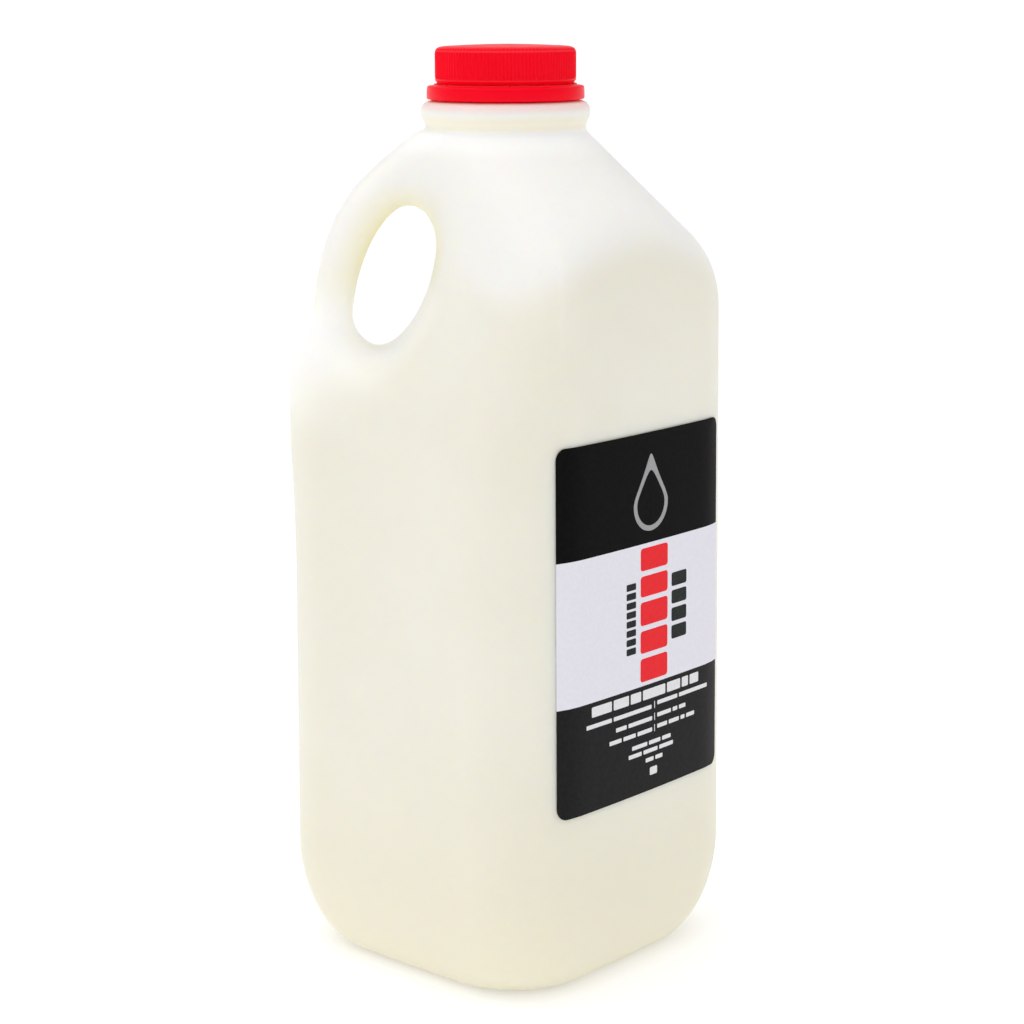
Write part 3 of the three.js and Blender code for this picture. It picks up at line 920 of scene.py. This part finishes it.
def wrap_on_side(piece, gap):
    """Takes a piece drawn flat, across and up in mm with its lift in z, and lays it on the side."""
    flat = points_of(piece)
    guess = np.stack(
        [
            (flat[:, 0] + SIDE_MIDDLE) / sqrt(2),
            (flat[:, 0] - SIDE_MIDDLE) / sqrt(2),
            flat[:, 1],
        ],
        axis=1,
    )
    lift = flat[:, 2] + gap
    move_points(piece, settle(lambda x, y, z: wall_distance(x, y, z) - lift, guess))


def slice_flat(piece, places, direction):
    for place in places:
        bpy.ops.mesh.select_all(action="SELECT")
        spot = [part * place * MM for part in direction]
        bpy.ops.mesh.bisect(plane_co=spot, plane_no=direction)


# %% Cut the film
LABEL_MIDDLE = -0.6
LABEL_HALF_WIDTH = 35.6
LABEL_BOTTOM = 54.2
LABEL_TOP = 157.1
LABEL_CORNER = 3.3
FOOT_LINE = 85.4
HEAD_LINE = 126.1
FILM_GAP = 0.15
FILM_THICKNESS = 0.25

bpy.ops.object.select_all(action="DESELECT")
bpy.ops.mesh.primitive_plane_add(size=MM)
film = begin_piece("label_film")
bpy.ops.mesh.select_all(action="SELECT")
middle = (LABEL_MIDDLE * MM, (LABEL_TOP + LABEL_BOTTOM) / 2 * MM, 0)
bpy.ops.transform.resize(value=(2 * LABEL_HALF_WIDTH, LABEL_TOP - LABEL_BOTTOM, 1))
bpy.ops.transform.translate(value=middle)
bpy.ops.mesh.bevel(offset=LABEL_CORNER * MM, segments=10, affect="VERTICES")
slice_flat(film, range(-32, 33, 4), (1, 0, 0))
slice_flat(film, [58, 64, 75, FOOT_LINE, 96, 106, 116, HEAD_LINE, 137, 147, 153], (0, 1, 0))
bpy.ops.mesh.select_all(action="SELECT")
bpy.ops.mesh.extrude_region_move(TRANSFORM_OT_translate={"value": (0, 0, FILM_THICKNESS * MM)})
bpy.ops.mesh.select_all(action="SELECT")
bpy.ops.mesh.normals_make_consistent(inside=False)
bpy.ops.object.mode_set(mode="OBJECT")
wrap_on_side(film, FILM_GAP)
end_piece(film)
bpy.ops.object.shade_smooth_by_angle(angle=radians(40))
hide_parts("label")


# %% Finishes of the film
def film_finish(name, colour, variation, roughness, specular=0.09):
    material, tree, surface = start_finish(name)
    set_inputs(surface, Roughness=roughness, Specular_IOR_Level=specular)
    fibres = range_share(tree, object_noise(tree, 900, 3, 0.6), 0.35, 0.65)
    lighter = tuple(min(part * (1 + variation) + variation * 0.02, 1) for part in colour)
    ink = blend_colours(tree, fibres, (*colour, 1), (*lighter, 1))
    tree.links.new(ink, surface.inputs["Base Color"])
    waves = add_bump(tree, object_noise(tree, 120, 2), 0.0002, 0.25)
    grain = add_bump(tree, object_noise(tree, 3000, 1), 0.00002, 0.4, waves)
    tree.links.new(grain, surface.inputs["Normal"])
    return material


film.data.materials.append(film_finish("label_black", (0.003, 0.003, 0.003), 0.08, 0.42, 0.035))
film.data.materials.append(film_finish("label_pale", (0.8, 0.79, 0.86), 0.03, 0.5))
film.data.materials.append(film_finish("label_charcoal", (0.0088, 0.0083, 0.0083), 0.12, 0.45))
for face in film.data.polygons:
    height = face.center.z / MM
    face.material_index = 0 if height > HEAD_LINE else 2 if height < FOOT_LINE else 1
print("film fields:", [material.name for material in film.data.materials])

# %% [markdown]
# ## Printing on the label
# The real label carries lettering, which this jug leaves plain: blocks, bars and a drop of the
# same sizes and colours stand in its place. They could be painted by the finish, but crisp
# edges need very fine patterns. Each block is a slip of ink instead, drawn flat where the
# printer would put it and wrapped on the film.

# %% Drawing with ink
INK_LIFT = 0.02


def start_print(name):
    bpy.ops.object.select_all(action="DESELECT")
    bpy.ops.mesh.primitive_plane_add(size=MM)
    sheet = begin_piece(name)
    bpy.ops.mesh.select_all(action="SELECT")
    bpy.ops.mesh.delete(type="VERT")
    return sheet


def ink_block(across, up, width, height, rounding):
    """A block of ink centred on a place in mm, with its corners rounded."""
    bpy.ops.mesh.primitive_plane_add(size=MM, location=(across * MM, up * MM, 0))
    bpy.ops.transform.resize(
        value=(width, height, 1), center_override=(across * MM, up * MM, 0)
    )
    bpy.ops.mesh.bevel(offset=rounding * MM, segments=3, affect="VERTICES")


def end_print(sheet, material):
    reach = [vert.co.x / MM for vert in bmesh.from_edit_mesh(sheet.data).verts]
    slices = np.arange(np.ceil(min(reach) / 5) * 5, max(reach), 5)
    slice_flat(sheet, [float(place) + 0.013 for place in slices], (1, 0, 0))
    bpy.ops.mesh.select_all(action="SELECT")
    bpy.ops.mesh.extrude_region_move(TRANSFORM_OT_translate={"value": (0, 0, INK_LIFT * MM)})
    bpy.ops.mesh.select_all(action="SELECT")
    bpy.ops.mesh.normals_make_consistent(inside=False)
    bpy.ops.object.mode_set(mode="OBJECT")
    wrap_on_side(sheet, FILM_GAP + FILM_THICKNESS + 0.01)
    end_piece(sheet)
    bpy.ops.object.shade_smooth_by_angle(angle=radians(40))
    sheet.data.materials.append(material)


# %% Upright columns in the pale field
red_print = start_print("print_red")
for up, height in ((89.9, 6.7), (98.0, 6.4), (106.1, 6.7), (113.9, 5.9), (121.6, 6.4)):
    ink_block(3.6, up, 12.2, height, 0.9)
end_print(red_print, film_finish("ink_red", (0.84, 0.02, 0.028), 0.06, 0.45))

dark_print = start_print("print_dark")
for index in range(8):
    ink_block(-6.6, 96.4 + 2.62 * index, 4.1, 1.9, 0.35)
for index in range(4):
    ink_block(15.05, 98.3 + 5.1 * index, 7.0, 3.9, 0.6)
end_print(dark_print, film_finish("ink_dark", (0.012, 0.016, 0.015), 0.3, 0.45))

# %% Drop in the black field
def drop_outline(sheet, across, up, radius, width):
    """The outline of a drop with its point up, its round part centred on a place in mm."""
    for reach in (radius, radius - width):
        bpy.ops.mesh.primitive_circle_add(
            vertices=64, radius=reach * MM, fill_type="NOTHING", location=(across * MM, up * MM, 0)
        )
    bpy.ops.mesh.select_mode(type="EDGE")
    bpy.ops.mesh.select_all(action="SELECT")
    bpy.ops.mesh.bridge_edge_loops()
    net = bmesh.from_edit_mesh(sheet.data)
    for vert in net.verts:
        rise = max(vert.co.y / MM - up, 0) / radius
        vert.co.x = across * MM + (vert.co.x - across * MM) * (1 - 0.6 * rise**2)
        vert.co.y += 0.85 * radius * MM * rise**3
    bmesh.update_edit_mesh(sheet.data)


head_print = start_print("print_grey")
drop_outline(head_print, 2.0, 137.0, 7.6, 1.5)
end_print(head_print, film_finish("ink_grey", (0.34, 0.34, 0.35), 0.1, 0.45))

# %% Lines in the charcoal foot
LINE_WORDS = [
    (82.6, 2.9, 0.35, -23.4, [8.4, 6.6, 4.6, 10.2, 6.2, 3.0, 4.2]),
    (78.6, 1.2, 0.25, -25.6, [10.6, 16.7]),
    (79.2, 1.2, 0.25, 5.1, [9.4, 13.6]),
    (75.2, 1.2, 0.25, -13.2, [4.6, 10.6]),
    (75.6, 1.2, 0.25, 5.1, [6.4, 2.2, 3.1]),
    (71.9, 1.2, 0.25, -16.0, [5.2, 5.4, 6.6]),
    (72.3, 1.2, 0.25, 5.1, [4.6, 4.8, 1.9, 3.9]),
    (68.2, 1.2, 0.25, -6.2, [6.8, 5.2, 4.0]),
    (65.9, 1.2, 0.25, -7.7, [5.8, 6.4, 6.4]),
    (63.3, 1.2, 0.25, -0.1, [3.6, 3.3]),
    (59.7, 2.3, 0.4, 1.8, [3.3]),
]
foot_print = start_print("print_light")
for up, height, rounding, start, widths in LINE_WORDS:
    place = start
    for width in widths:
        ink_block(place + width / 2, up, width, height, rounding)
        place += width + 0.8
for up in (78.9, 75.4, 72.1):
    ink_block(3.9, up, 0.3, 2.1, 0.08)
end_print(foot_print, film_finish("ink_light", (0.78, 0.78, 0.8), 0.05, 0.45))
